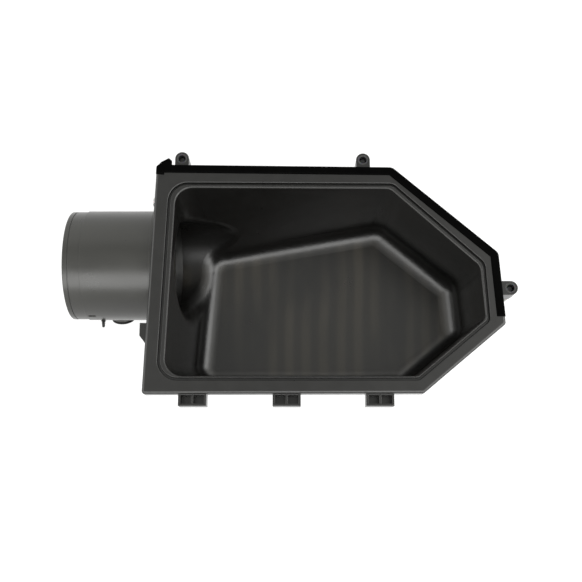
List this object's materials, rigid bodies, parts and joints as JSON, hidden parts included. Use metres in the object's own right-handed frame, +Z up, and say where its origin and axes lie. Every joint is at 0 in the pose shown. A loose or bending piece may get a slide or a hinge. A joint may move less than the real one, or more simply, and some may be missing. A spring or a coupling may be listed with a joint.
{
  "type": "air filter housing half",
  "caption": "Open half of an air filter housing: deep six-sided moulded tray with flange, lip, hinge pockets, captive cover screws, edge seal and round outlet duct.",
  "frame": {"origin": "under the middle of the whole part, on the surface that its crown ribs stand on", "axes": "+Z up out of the opening, +X along the long side away from the duct, -Y towards the hinge pockets"},
  "size_m": [0.3488, 0.1986, 0.1012],
  "materials": {
    "shell_plastic": "moulded polypropylene, fine satin grain",
    "duct_plastic": "glass-filled nylon, satin, lighter grey",
    "seal_rubber": "black foam-skinned rubber",
    "ring_rubber": "black nitrile rubber",
    "grommet_rubber": "smooth black rubber",
    "lattice_plastic": "moulded nylon lattice",
    "plug_plastic": "glossy black plastic",
    "stud_plastic": "black nylon",
    "retainer_plastic": "black nylon",
    "spring_steel": "bare spring steel wire",
    "zinc_steel": "zinc-plated steel",
    "dark_steel": "black phosphated steel",
    "insert_brass": "knurled brass"
  },
  "bodies": {
    "housing": {"housing_shell": "shell_plastic", "outlet_duct": "duct_plastic", "edge_seal": "seal_rubber", "duct_seal_ring": "ring_rubber", "flow_straightener": "lattice_plastic", "straightener_clip": "spring_steel", "duct_screws": "zinc_steel", "duct_screw_washers": "zinc_steel", "duct_inserts": "insert_brass", "port_grommet": "grommet_rubber", "port_plug": "plug_plastic", "harness_stud": "stud_plastic", "lug_sleeves": "dark_steel", "screw_retainers": "retainer_plastic"},
    "washer_1": {"cover_washer_1": "zinc_steel"},
    "screw_1": {"cover_screw_1": "dark_steel"},
    "washer_2": {"cover_washer_2": "zinc_steel"},
    "screw_2": {"cover_screw_2": "dark_steel"},
    "washer_3": {"cover_washer_3": "zinc_steel"},
    "screw_3": {"cover_screw_3": "dark_steel"}
  },
  "joints": [
    {"name": "cover_screw_1_slide", "type": "slide", "parent": "housing", "child": "washer_1", "axis": [0, 0, 1], "range_m": [0, 0.0115]},
    {"name": "cover_screw_1_turn", "type": "hinge", "parent": "washer_1", "child": "screw_1", "pos_m": [-0.0832, 0.0939, 0.07], "axis": [0, 0, 1], "continuous": true},
    {"name": "cover_screw_2_slide", "type": "slide", "parent": "housing", "child": "washer_2", "axis": [0, 0, 1], "range_m": [0, 0.0115]},
    {"name": "cover_screw_2_turn", "type": "hinge", "parent": "washer_2", "child": "screw_2", "pos_m": [0.0586, 0.0928, 0.07], "axis": [0, 0, 1], "continuous": true},
    {"name": "cover_screw_3_slide", "type": "slide", "parent": "housing", "child": "washer_3", "axis": [0, 0, 1], "range_m": [0, 0.0115]},
    {"name": "cover_screw_3_turn", "type": "hinge", "parent": "washer_3", "child": "screw_3", "pos_m": [0.169, -0.01, 0.07], "axis": [0, 0, 1], "continuous": true}
  ]
}
